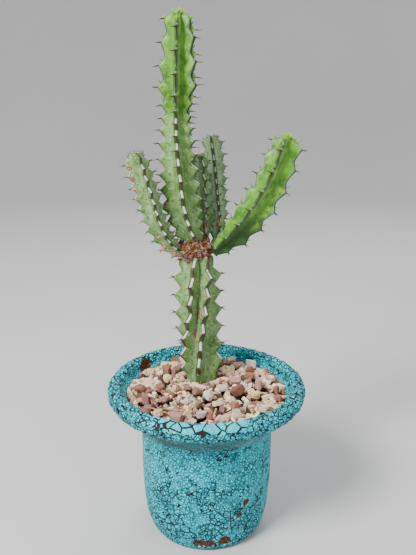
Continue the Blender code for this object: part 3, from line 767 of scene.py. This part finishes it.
def outward(section, bearing):
    angle = math.radians(bearing)
    return section["front"] * math.cos(angle) + section["right"] * math.sin(angle)


def toothShare(section, rib):
    # how far up its tooth the rib is here: 0 at a spine, 1 at the next spine above
    tenths = stemShape["tenths"]
    return (section["step"] - section["lifts"][rib]) % tenths / tenths


def toothHeight(section, rib):
    # 0 in a notch and 1 at a tooth's tip
    climb, above = toothShare(section, rib), stemShape["climb"]
    fromTip = climb / above if climb <= above else (1 - climb) / (1 - above)
    return (1 - fromTip) ** blendValue(1.1, 1.45, section["young"])


def edgeRadius(section, rib):
    tip = section["radius"] * blendValue(section["notch"], 1, toothHeight(section, rib))
    return blendValue(stemShape["foot"], tip, section["toothed"])


def sectionPoints(section):
    # rows of (place, nearness to the edge, nearest rib) once round the stem
    rows = []
    bearings = section["bearings"]
    radius = section["radius"]
    valley = blendValue(stemShape["footValley"], radius * stemShape["valley"], section["toothed"])
    level = radius * blendValue(section["notch"], 1, 0.35)
    level = blendValue(stemShape["foot"] - 1, level, section["toothed"])
    ribSide = stemShape["ribSide"]
    thickness = stemShape["edge"][0] * radius + stemShape["edge"][1]
    for rib, bearing in enumerate(bearings):
        following = bearings[(rib + 1) % len(bearings)]
        if rib == len(bearings) - 1:
            following += 360
        middle = (bearing + following) / 2
        hollow = outward(section, middle) * valley
        for side, start, nextRib in ((1, bearing, rib), (-1, following, (rib + 1) % len(bearings))):
            out = outward(section, start)
            aside = section["along"].cross(out) * side
            tip = edgeRadius(section, nextRib)
            base = out * level + aside * thickness
            normal = (hollow - base).cross(section["along"]).normalized()
            if normal.dot(aside) < 0:
                normal.negate()
            steps = range(ribSide) if side == 1 else range(ribSide - 1, -1, -1)
            for i in steps:
                t = i / ribSide
                place = base.lerp(hollow, t) + out * (tip - level) * (1 - t) ** 1.7
                place += normal * 0.035 * radius * math.sin(math.pi * t) * (1 - 1.3 * t)
                rows.append((place, 1 - t, nextRib))
            if side == 1:
                rows.append((hollow * 1.03, 0.0, rib))
    return rows


def scarAt(stem, section, bearing):
    worst = 0.0
    for at, height, wide, tall in stem["scars"]:
        aside = math.radians(turnBetween(bearing, at)) * section["radius"] * 0.7
        worst = max(worst, 1 - 0.5 * math.hypot(aside / wide, (section["run"] - height) / tall))
    return worst


def buildStem(name, stem):
    sections = walkStem(stem)
    shape = bmesh.new()
    growth = shape.verts.layers.float_color.new("growth")
    place = shape.verts.layers.float_color.new("place")
    ring = []
    for section in sections:
        rows = sectionPoints(section)
        bearings = section["bearings"]
        places = []
        for offset, edge, rib in rows:
            spot = section["centre"] + offset
            swell = noise.noise(spot * 0.11) * 0.30 + noise.noise(spot * 0.45) * 0.10
            places.append((spot + offset.normalized() * swell) * millimetre)
        ring = growRing(shape, ring, places)
        heights = [toothHeight(section, rib) for rib in range(len(bearings))]
        for vert, (offset, edge, rib) in zip(ring, rows):
            sideways = math.degrees(math.atan2(offset.dot(section["right"]),
                                               offset.dot(section["front"])))
            vert[growth] = (section["young"], edge, scarAt(stem, section, sideways), 1)
            pale = stem["pale"]
            # painted shade: low down, the side past the second rib gets a negative pale value
            if "shadeBelow" in stem and 0 < (sideways - bearings[1]) % 360 < 170:
                pale -= smoothStep(stem["shadeBelow"] + 12, stem["shadeBelow"] - 12, section["run"])
            vert[place] = (pale, heights[rib], 0, 1)
    closeRing(shape, ring)
    bmesh.ops.recalc_face_normals(shape, faces=shape.faces[:])
    finishPiece(name, shape, stemSkin, replaced=[stem["node"]], sharpAngle=70)
    return sections


def buildMargins(name, stem, sections):
    # the horny edge: pale above each spine pair and brown below it, the horn's own colour with painted
    # light on the upper facets and painted shade under them
    shape = bmesh.new()
    growth = shape.verts.layers.float_color.new("growth")
    shown = [s for s in sections if s["run"] > (4 if stem["buried"] else 2)]
    if not stem["buried"]:
        shown = [s for s in shown if s["run"] < sections[-1]["run"] - 2.5]
    for rib in range(len(stem["ribs"][0])):
        ring = []
        for section in shown:
            climb = toothShare(section, rib)
            young = section["young"]
            out = outward(section, section["bearings"][rib])
            aside = section["along"].cross(out)
            tip = section["centre"] + out * edgeRadius(section, rib)
            nearTip = max(0.0, 1 - min(climb, 1 - climb) / 0.16)
            # old growth: painted light on the upper facet, painted shade below it
            pale = smoothStep(0.0, 0.03, climb) * smoothStep(0.52, 0.45, climb)
            oldWide = 0.62 + 0.30 * pale + 0.35 * nearTip
            wide = stem["margin"] * blendValue(oldWide, 0.42 + 0.25 * nearTip, young)
            wide *= min(1, section["radius"] / 6)
            thick = blendValue(0.42, 0.28, young) * stem["margin"]
            if young > 0.5:
                pale = smoothStep(0.03, 0.07, climb) * smoothStep(0.22, 0.14, climb) * 0.9
            outline = [(-wide * 1.05, -1.5), (-wide, -0.25), (-wide * 0.55, thick * 0.8),
                       (0, thick), (wide * 0.55, thick * 0.8), (wide, -0.25), (wide * 1.05, -1.5)]
            places = [(tip + aside * a + out * b) * millimetre for a, b in outline]
            ring = growRing(shape, ring, places)
            for vert in ring:
                vert[growth] = (young, pale, 0, 1)
        closeRing(shape, ring)
    bmesh.ops.recalc_face_normals(shape, faces=shape.faces[:])
    finishPiece(name + "Margins", shape, hornyMargin, sharpAngle=60)


spineShape = {
    "sides": 6, "point": 0.12, "lengths": (0.72, 1.12), "missing": 0.12, "apart": 0.45,
    "outward": 0.75, "sideways": (0.5, 0.85), "upward": (-0.22, 0.12),
    "thickness": (0.40, 0.08),  # by the margin's width, and at least
}
# a leaf's shape by its length, and how it stands above a pair of spines
leafShape = {"wide": 0.17, "thick": 0.10, "bend": 0.16, "taper": 0.45, "foot": 0.42,
             "above": 3.0, "lengths": (3.4, 4.4), "greenest": 0.15, "lightens": 0.7}
# what grows at a stem's very tip; the turn spreads it evenly
tuft = {"count": 15, "turn": 137.5, "leaves": (3.4, 5.2), "spines": (2.2, 4.2), "spineThick": 0.26,
        "ribLeaves": (3.0, 4.8), "ribSpines": (2.4, 4.0), "ribSpineThick": 0.24}


def addSpine(shape, base, direction, length, thickness, young):
    made = bmesh.ops.create_cone(shape, cap_ends=True, segments=spineShape["sides"],
                                 radius1=thickness, radius2=thickness * spineShape["point"],
                                 depth=length)["verts"]
    growth = shape.verts.layers.float_color["growth"]
    for vert in made:
        vert[growth] = (young, clamp(vert.co.z / length + 0.5), 0, 1)
        vert.co.z += length / 2
    setDown(shape, made, base, facing(direction))


def addLeaf(shape, base, direction, length, tint):
    made = bmesh.ops.create_icosphere(shape, subdivisions=2, radius=1)["verts"]
    growth = shape.verts.layers.float_color["growth"]
    for vert in made:
        taper = 1 - leafShape["taper"] * clamp(vert.co.z)
        vert[growth] = (1, clamp(vert.co.z * 0.5 + 0.5) * tint, 0, 1)
        vert.co = Vector((vert.co.x * leafShape["wide"] * taper,
                          vert.co.y * leafShape["thick"] + leafShape["bend"] * vert.co.z**2,
                          vert.co.z * 0.5 + leafShape["foot"])) * length
    setDown(shape, made, base, facing(direction))


def dressTooth(stem, section, rib, top, dice, spines, leaves):
    # a pair of spines at a tooth's tip, and a leaf above them on fresh growth
    out = outward(section, section["bearings"][rib])
    along, young = section["along"], section["young"]
    aside = along.cross(out)
    tip = section["centre"] + out * (section["radius"] + 0.1)
    near = clamp(section["radius"] / 9, 0.4, 1)
    thickness = spineShape["thickness"][0] * stem["margin"] + spineShape["thickness"][1]
    for side in (-1, 1):
        if young < 0.5 and dice.random() < spineShape["missing"]:
            continue
        length = stem["spine"] * near * dice.uniform(*spineShape["lengths"])
        lean = (out * spineShape["outward"] + aside * side * dice.uniform(*spineShape["sideways"])
                + along * dice.uniform(*spineShape["upward"])).normalized()
        addSpine(spines, tip + aside * side * spineShape["apart"], lean, length, thickness, young)
    if young > 0.5 and section["run"] < top - 5:
        lean = (out * 0.75 + along * 0.8 + aside * dice.uniform(-0.2, 0.2)).normalized()
        fresh = smoothStep(top - 45, top, section["run"])
        drop = section["radius"] * (1 - section["notch"]) * 0.6
        addLeaf(leaves, tip + along * leafShape["above"] - out * drop, lean,
                dice.uniform(*leafShape["lengths"]),
                leafShape["greenest"] + leafShape["lightens"] * fresh)


def dressTip(sections, dice, spines, leaves):
    # a tuft of leaves and spines on a growing stem, dried spines on an old one
    last, shoulder = sections[-1], sections[-4]
    growing = last["young"] > 0.5
    for i in range(tuft["count"]):
        out = outward(last, i * tuft["turn"])
        reach = last["radius"] * (0.25 + 0.05 * i)
        start = last["centre"] + out * reach - last["along"] * (0.3 + 0.1 * i)
        if growing:
            lean = (last["along"] + out * (0.15 + 0.06 * i)).normalized()
            addLeaf(leaves, start, lean, dice.uniform(*tuft["leaves"]), 1)
        if i % 2 or not growing:
            lean = (last["along"] * dice.uniform(0.2, 1) + out).normalized()
            addSpine(spines, start, lean, dice.uniform(*tuft["spines"]), tuft["spineThick"],
                     last["young"])
    for rib, bearing in enumerate(shoulder["bearings"]):
        out = outward(shoulder, bearing)
        place = shoulder["centre"] + out * (edgeRadius(shoulder, rib) - 0.3)
        aside = shoulder["along"].cross(out)
        for side in (-1, 0, 1):
            lean = (shoulder["along"] + out * dice.uniform(0.3, 0.7)
                    + aside * side * 0.35).normalized()
            if growing:
                addLeaf(leaves, place + aside * side * 0.7, lean,
                        dice.uniform(*tuft["ribLeaves"]), 0.9)
            elif side:
                addSpine(spines, place, lean, dice.uniform(*tuft["ribSpines"]),
                         tuft["ribSpineThick"], 0)


def buildSpines(name, stem, sections):
    dice = random.Random(sum(map(ord, name)))
    spines, leaves = bmesh.new(), bmesh.new()
    for shape in (spines, leaves):
        shape.verts.layers.float_color.new("growth")
    top = sections[-1]["run"]
    lowest, highest = (6, top - 8) if stem["buried"] else (9, top - 1.5)
    for rib in range(len(stem["ribs"][0])):
        for section in sections:
            if toothShare(section, rib) == 0 and lowest < section["run"] < highest:
                dressTooth(stem, section, rib, top, dice, spines, leaves)
    if not stem["buried"]:
        dressTip(sections, dice, spines, leaves)
    finishPiece(name + "Spines", spines, spineHorn)
    if leaves.verts:
        finishPiece(name + "Leaves", leaves, tinyLeafGreen)
    else:
        leaves.free()


for stemName, stem in stems.items():
    sections = buildStem(stemName, stem)
    buildMargins(stemName, stem, sections)
    buildSpines(stemName, stem, sections)
    print(stemName, "has", len(sections), "sections")


# the corky crown: a funnel that opens to the back, where the rear branches stand
crown = {
    "centre": Vector((-8.0, 14.0, 97.0 + potTop)), "radii": Vector((15.5, 12.5, 10.5)),
    "backReach": 1.25, "taper": 0.62, "lumps": 0.22, "folds": 1.5,
    "seed": 5, "flakes": 420, "flakeSize": (0.5, 1.3), "flakeThick": 0.25,
    "fibres": 330, "fibreThick": (0.12, 0.26), "fibreLength": (3.0, 6.0),
    "buds": 44, "petals": 5, "petalSize": (0.7, 1.2),
}


def crownSurface(direction):
    lumps = 1 + crown["lumps"] * noise.noise(direction * 2.4)
    place = Vector([d * r * lumps for d, r in zip(direction, crown["radii"])])
    if direction.y > 0:
        place.y *= crown["backReach"]
    narrow = 1 - crown["taper"] * (0.5 - 0.5 * direction.z)
    place.x *= narrow
    place.y *= narrow
    return place


def crownDirection(dice):
    angle = math.radians(dice.gauss(0, 100))
    rise = dice.uniform(-0.85, 0.95)
    flat = math.sqrt(1 - rise * rise)
    return Vector((math.sin(angle) * flat, -math.cos(angle) * flat, rise))


def buildCrown():
    shape = bmesh.new()
    bmesh.ops.create_icosphere(shape, subdivisions=6, radius=1)
    for vert in shape.verts:
        direction = vert.co.normalized()
        place = crownSurface(direction)
        ridge = 1 - abs(noise.noise(place * 0.22)) * 2.2
        fine = noise.fractal(place * 0.5, 0.8, 2.1, 4)
        vert.co = (crown["centre"] + place
                   + direction * (crown["folds"] * (0.6 * ridge + 0.8 * fine))) * millimetre
    finishPiece("corkyCrown", shape, crownCork, replaced=["crown_callus"])


def addFlake(shape, dice, place, direction, size):
    made = bmesh.ops.create_circle(shape, cap_ends=True, segments=dice.choice((5, 6, 7)),
                                   radius=size)["verts"]
    grown = bmesh.ops.extrude_face_region(shape, geom=[made[0].link_faces[0]])["geom"]
    lifted = [g for g in grown if isinstance(g, bmesh.types.BMVert)]
    for vert in lifted:
        vert.co.z += crown["flakeThick"]
    for vert in made + lifted:
        vert.co.y *= 0.55
        vert.co += Vector((dice.uniform(-0.2, 0.2), 0, 0.12 * vert.co.x**2)) * size * 0.6
    lean = (direction + Vector([dice.uniform(-0.8, 0.8) for _ in range(3)])).normalized()
    spin = Matrix.Rotation(dice.uniform(0, math.tau), 4, "Z")
    setDown(shape, made + lifted, place, facing(lean) @ spin)


def addFibre(shape, dice, place, heading, thick, length, joints=5):
    curl = Vector([dice.uniform(-0.35, 0.35) for _ in range(3)])
    ring = []
    for step in range(joints + 1):
        across = heading.orthogonal().normalized()
        up = heading.cross(across)
        size = thick * (1 - 0.14 * step)
        places = [(place + across * size * a + up * size * b) * millimetre
                  for a, b in ((1, 0), (0, 1), (-1, 0), (0, -1))]
        ring = growRing(shape, ring, places)
        place = place + heading * length / joints
        heading = (heading + curl).normalized()
    closeRing(shape, ring)


def buildCrownDebris():
    # dried flower scales, withered buds and loose fibres that cling to the cork
    dice = random.Random(crown["seed"])
    flakes, fibres, buds = bmesh.new(), bmesh.new(), bmesh.new()
    for i in range(crown["flakes"]):
        direction = crownDirection(dice)
        place = crown["centre"] + crownSurface(direction) * dice.uniform(0.98, 1.10)
        addFlake(flakes, dice, place, direction, dice.uniform(*crown["flakeSize"]))
    for i in range(crown["fibres"]):
        direction = crownDirection(dice)
        heading = (direction * dice.uniform(0.1, 0.8)
                   + Vector([dice.uniform(-1, 1) for _ in range(3)])).normalized()
        addFibre(fibres, dice, crown["centre"] + crownSurface(direction) * 0.99, heading,
                 dice.uniform(*crown["fibreThick"]), dice.uniform(*crown["fibreLength"]))
    for i in range(crown["buds"]):
        direction = crownDirection(dice)
        place = crown["centre"] + crownSurface(direction) * 1.06
        for petal in range(crown["petals"]):
            lean = direction + Vector([dice.uniform(-0.9, 0.9) for _ in range(3)])
            addFlake(buds, dice, place + lean * 0.9, lean.normalized(),
                     dice.uniform(*crown["petalSize"]))
    for shape in (flakes, fibres, buds):
        bmesh.ops.recalc_face_normals(shape, faces=shape.faces[:])
    finishPiece("driedFlowerScales", flakes, driedFlower, sharpAngle=40)
    finishPiece("crownFibres", fibres, crownFibre)
    finishPiece("witheredBuds", buds, witheredBud, sharpAngle=40)


buildCrown()
buildCrownDebris()
print("crown is done")

# the gravel: crushed stone in five colours, a share of the chips for each
gravel = {
    "seed": 23, "depth": 6.5, "tries": 2300, "spotsLookedAt": 12, "mapReach": 66,
    "stemClear": 13.0, "bigOnes": 70, "bigSize": (3.2, 4.8),
    "offBed": 200,  # a height no stone is laid on
    "smallest": 1.6, "sizeSpread": 2.4, "sizePower": 1.8,  # small stones are the most common
    "stretch": (1.0, 1.5), "tilt": 0.85, "rise": 0.34, "fill": 0.55, "footprint": 0.8,
    # dusk sets how deep the painted shade between the stones reaches
    "dusk": 2.4,  # how far below the surface a stone is fully dark
    "shapes": 24, "cuts": 6, "cutReach": (0.48, 0.86), "bevel": 0.035,
    "chipWidth": (0.42, 0.74), "chipHeight": (0.26, 0.5),
    "colours": {
        "Cream": ((0.60, 0.41, 0.24), (0.98, 0.82, 0.58), (0.88, 0.65, 0.42), 0.46, "stone_cream"),
        "Mauve": ((0.22, 0.105, 0.090), (0.50, 0.30, 0.25), (0.36, 0.17, 0.14), 0.15, "stone_mauve"),
        "Grey": ((0.42, 0.34, 0.28), (0.78, 0.67, 0.57), (0.60, 0.46, 0.36), 0.17, "stone_grey"),
        "Brown": ((0.050, 0.024, 0.016), (0.27, 0.145, 0.095), (0.14, 0.07, 0.045), 0.15, "stone_rust"),
        "Rust": ((0.17, 0.065, 0.045), (0.40, 0.19, 0.13), (0.25, 0.10, 0.065), 0.07, "stone_rust"),
    },
    # single stones that stand out: x, y, half length, colour
    "special": [(-23, 25, 6.4, "Mauve"), (53, -14, 5.0, "Rust"), (48, 17, 4.5, "Mauve"),
                (-26, 55, 4.6, "Brown"), (17, 40, 5.2, "Brown"), (-42, 5, 5.2, "Cream"),
                (-52, -2, 4.4, "Rust"), (2, -43, 4.2, "Rust"), (28, -2, 4.8, "Grey"),
                (21, -42, 4.6, "Grey")],
}
stoneMaterials = {}
for colourName, (dark, light, fleck, share, slotName) in gravel["colours"].items():
    stoneMaterials[colourName] = makeStone("gravel" + colourName, dark, light, fleck)


def buildSoil():
    # soil below the stones, dark enough to act as painted shade in the gaps
    shape = bmesh.new()
    bmesh.ops.create_grid(shape, x_segments=110, y_segments=110, size=(bedRim + 2) * millimetre)
    outside = [v for v in shape.verts if v.co.length > (bedRim + 0.6) * millimetre]
    bmesh.ops.delete(shape, geom=outside, context="VERTS")
    for vert in shape.verts:
        x, y = vert.co.x / millimetre, vert.co.y / millimetre
        crumbs = 1.5 * noise.noise(vert.co * 160) + 0.7 * noise.noise(vert.co * 520)
        vert.co.z = (bedHeight(x, y) - gravel["depth"] + crumbs) * millimetre
    border = [e for e in shape.edges if e.is_boundary]
    sides = bmesh.ops.extrude_edge_only(shape, edges=border)["geom"]
    low = [g for g in sides if isinstance(g, bmesh.types.BMVert)]
    for vert in low:
        vert.co.z = (potTop - 25) * millimetre
        vert.co.xy *= 0.9
    bmesh.ops.holes_fill(shape, edges=[e for e in shape.edges if e.is_boundary], sides=0)
    bmesh.ops.recalc_face_normals(shape, faces=shape.faces[:])
    finishPiece("soilUnderGravel", shape, darkSoilAndGapShade, replaced=["gravel_bed"])


def chipShape(dice):
    # a crushed-stone chip about 2 across: a block with its corners knocked off
    shape = bmesh.new()
    bmesh.ops.create_cube(shape, size=2)
    wide, high = dice.uniform(*gravel["chipWidth"]), dice.uniform(*gravel["chipHeight"])
    bmesh.ops.scale(shape, vec=(1, wide, high), verts=shape.verts[:])
    for i in range(gravel["cuts"]):
        normal = Vector([dice.uniform(-1, 1) for _ in range(3)])
        normal.z *= 0.6
        normal.normalize()
        reach = max(v.co.dot(normal) for v in shape.verts)
        cut = bmesh.ops.bisect_plane(shape, geom=shape.verts[:] + shape.edges[:] + shape.faces[:],
                                     plane_co=normal * reach * dice.uniform(*gravel["cutReach"]),
                                     plane_no=normal, clear_outer=True)["geom_cut"]
        bmesh.ops.contextual_create(shape, geom=[g for g in cut if isinstance(g, bmesh.types.BMEdge)])
    bmesh.ops.remove_doubles(shape, verts=shape.verts[:], dist=0.08)
    bmesh.ops.dissolve_degenerate(shape, dist=0.02, edges=shape.edges[:])
    bmesh.ops.recalc_face_normals(shape, faces=shape.faces[:])
    bmesh.ops.bevel(shape, geom=shape.edges[:], offset=gravel["bevel"], offset_type="OFFSET",
                    segments=1, profile=0.5, affect="EDGES", material=-1, clamp_overlap=True)
    mesh = bpy.data.meshes.new("chipShape")
    shape.to_mesh(mesh)
    shape.free()
    return mesh


def paintStones(verts, layer, tint):
    # a stone's own tint, and how deep each corner lies, which sets the painted shade from its
    # neighbours
    for vert in verts:
        x, y, z = (c / millimetre for c in vert.co)
        depth = (bedHeight(x, y) - z) / gravel["dusk"]
        vert[layer] = (tint, smoothStep(0, 1, depth), 0, 1)


def addChip(shape, chips, dice):
    before = len(shape.verts)
    shape.from_mesh(dice.choice(chips))
    shape.verts.ensure_lookup_table()
    return shape.verts[before:]


def cellsUnder(x, y, size):
    reach = max(1, int(size * gravel["footprint"]))
    return [(int(x) + i, int(y) + j) for i in range(-reach, reach + 1)
            for j in range(-reach, reach + 1) if i * i + j * j <= reach * reach]


def layStones(chips, dice):
    # drops chips on a height map of the bed, low places first
    across = range(-gravel["mapReach"], gravel["mapReach"] + 1)
    heights = {(x, y): bedHeight(x, y) - gravel["depth"] + 1 for x in across for y in across}
    loose = [(middle, half.length * 0.8) for _, middle, half in looseStones()]
    shapes = {name: bmesh.new() for name in gravel["colours"]}
    layers = {name: s.verts.layers.float_color.new("stone") for name, s in shapes.items()}
    names = list(gravel["colours"])
    weights = [gravel["colours"][n][3] for n in names]
    sx, sy = bed["stemPlace"]

    def lay(x, y, size, level, colourName, tilt):
        made = addChip(shapes[colourName], chips, dice)
        tint = dice.random()
        long = dice.uniform(*gravel["stretch"])
        flip = (Matrix.Rotation(dice.gauss(0, tilt), 4, "X")
                @ Matrix.Rotation(dice.gauss(0, tilt), 4, "Y"))
        turn = Matrix.Rotation(dice.uniform(0, math.tau), 4, "Z")
        setDown(shapes[colourName], made, (x, y, level + size * gravel["rise"]),
                turn @ flip @ Matrix.Diagonal((size * long, size, size, 1)))
        paintStones(made, layers[colourName], tint)
        for cell in cellsUnder(x, y, size):
            if cell in heights:
                heights[cell] = max(heights[cell], level + size * gravel["fill"])

    def lowestSpot(size):
        # how far above the bed a stone would lie, and where, at the best of a few places
        best = None
        for _ in range(gravel["spotsLookedAt"]):
            radius = (bedRim - size * 0.75) * math.sqrt(dice.random())
            angle = dice.uniform(0, math.tau)
            x, y = radius * math.cos(angle), radius * math.sin(angle)
            if math.hypot(x - sx, y - sy) < gravel["stemClear"] + size * 0.6:
                continue
            if any(math.hypot(x - c.x, y - c.y) < r + size * 0.5 for c, r in loose):
                continue
            cells = cellsUnder(x, y, size)
            level = sum(heights.get(c, gravel["offBed"]) for c in cells) / len(cells)
            over = level - bedHeight(x, y)
            if best is None or over < best[0]:
                best = (over, x, y, level)
        return best

    laid = 0
    for attempt in range(gravel["tries"]):
        size = dice.uniform(*gravel["bigSize"])
        if attempt >= gravel["bigOnes"]:
            size = gravel["smallest"] + gravel["sizeSpread"] * dice.random() ** gravel["sizePower"]
        best = lowestSpot(size)
        if best is None or best[0] > 1.4 - 0.25 * size:
            continue
        over, x, y, level = best
        lay(x, y, size, level, dice.choices(names, weights)[0], gravel["tilt"])
        laid += 1
    for x, y, size, colourName in gravel["special"]:
        lay(x, y, size, bedHeight(x, y) - 0.22 * size, colourName, 0.15)
    for colourName, shape in shapes.items():
        finishPiece("gravel" + colourName, shape, stoneMaterials[colourName],
                    smooth=False)
    return laid


def dressLooseStones(chips, dice):
    # the model's own loose stones, each a crushed chip of that stone's size in its place
    colours = ("Cream", "Mauve", "Grey", "Rust")
    for first, colourName in enumerate(colours):
        stones = looseStones()[first::len(colours)]
        shape = bmesh.new()
        layer = shape.verts.layers.float_color.new("stone")
        for _, middle, half in stones:
            made = addChip(shape, chips, dice)
            tint = dice.random()
            length = max(half.x, half.y) * 1.05
            heading = dice.gauss(0 if half.x > half.y else math.pi / 2, 0.4)
            lean = Matrix.Rotation(dice.gauss(0, 0.25), 4, "X")
            grow = Matrix.Diagonal((length, length * 1.15, half.z * 2.1, 1))
            setDown(shape, made, middle, Matrix.Rotation(heading, 4, "Z") @ lean @ grow)
            paintStones(made, layer, tint)
        finishPiece("looseStones" + colourName, shape, stoneMaterials[colourName],
                    smooth=False,
                    replaced=[name for name, _, _ in stones])


straws = {
    "seed": 3, "joints": 6, "width": 0.75, "thick": 0.28,
    # middle x, y, then bearing and length
    "places": [(-28, -42, 117, 27), (-24, -40, 108, 15), (-11, -40, 15, 14), (-7, -41, 165, 9),
               (7, -44, 24, 11), (-51, -22, 133, 13), (34, -22, 110, 8)],
}


def buildStraws():
    dice, joints = random.Random(straws["seed"]), straws["joints"]
    shape = bmesh.new()
    for x, y, bearing, length in straws["places"]:
        heading = Vector((math.sin(math.radians(bearing)), math.cos(math.radians(bearing)), 0))
        place = Vector((x, y, bedHeight(x, y) + 3.2))
        place -= heading * length / 2
        ring = []
        for step in range(joints + 1):
            aside = Vector((heading.y, -heading.x, 0))
            wide = straws["width"] * (1 - 0.5 * abs(step / joints - 0.4))
            places = [(place + aside * wide * a + Vector((0, 0, straws["thick"] * b))) * millimetre
                      for a, b in ((1, 0), (0.6, 1), (-0.6, 1), (-1, 0), (0, -1))]
            ring = growRing(shape, ring, places)
            turn = Matrix.Rotation(dice.uniform(-0.12, 0.12), 3, "Z")
            heading = turn @ heading
            place = place + heading * length / joints + Vector((0, 0, dice.uniform(-0.15, 0.15)))
        closeRing(shape, ring)
    bmesh.ops.recalc_face_normals(shape, faces=shape.faces[:])
    finishPiece("strawBits", shape, strawTan, sharpAngle=50)


buildSoil()
gravelDice = random.Random(gravel["seed"])
chipShapes = [chipShape(gravelDice) for _ in range(gravel["shapes"])]
print("stones laid:", layStones(chipShapes, gravelDice))
dressLooseStones(chipShapes, gravelDice)
for chip in chipShapes:
    bpy.data.meshes.remove(chip)
buildStraws()
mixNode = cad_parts["potting_mix"]
mixNode.data.materials.clear()
mixNode.data.materials.append(darkSoilAndGapShade)
